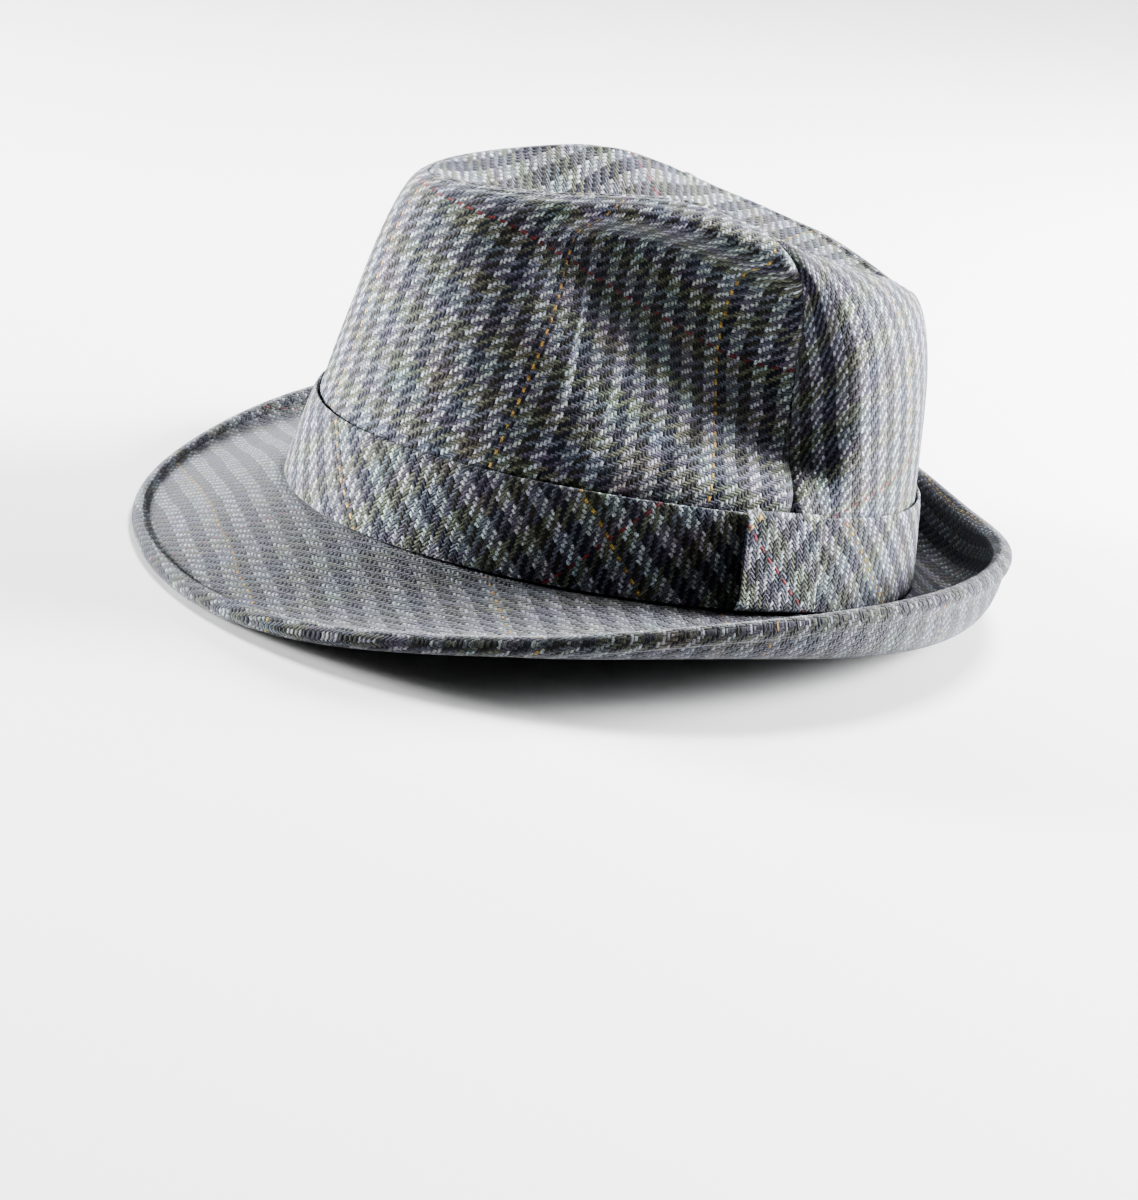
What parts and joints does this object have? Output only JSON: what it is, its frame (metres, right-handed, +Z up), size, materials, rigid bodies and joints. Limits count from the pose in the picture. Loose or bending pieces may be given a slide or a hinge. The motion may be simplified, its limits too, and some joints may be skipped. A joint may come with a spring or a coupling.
{
  "type": "tweed trilby hat",
  "caption": "Soft checked tweed trilby with a dented crown, a self cloth band with a folded tab and a short brim turned up at the sides and back.",
  "frame": {"origin": "middle of the hat's box at floor level, as it rests on a table on its brim", "axes": "+Z up, the front of the hat looks to -Y, the wearer's left is +X"},
  "size_m": [0.255, 0.276, 0.1255],
  "materials": {
    "tweed": "soft brushed wool twill in a small grey, navy and olive check with thin gold and rust lines",
    "tweed_bias": "the same wool cut on the bias, slightly flattened"
  },
  "bodies": {
    "root": {"crown_front": "tweed", "crown_back": "tweed", "crown_tip": "tweed", "hat_band": "tweed_bias", "band_tab": "tweed_bias", "brim": "tweed"}
  },
  "joints": []
}
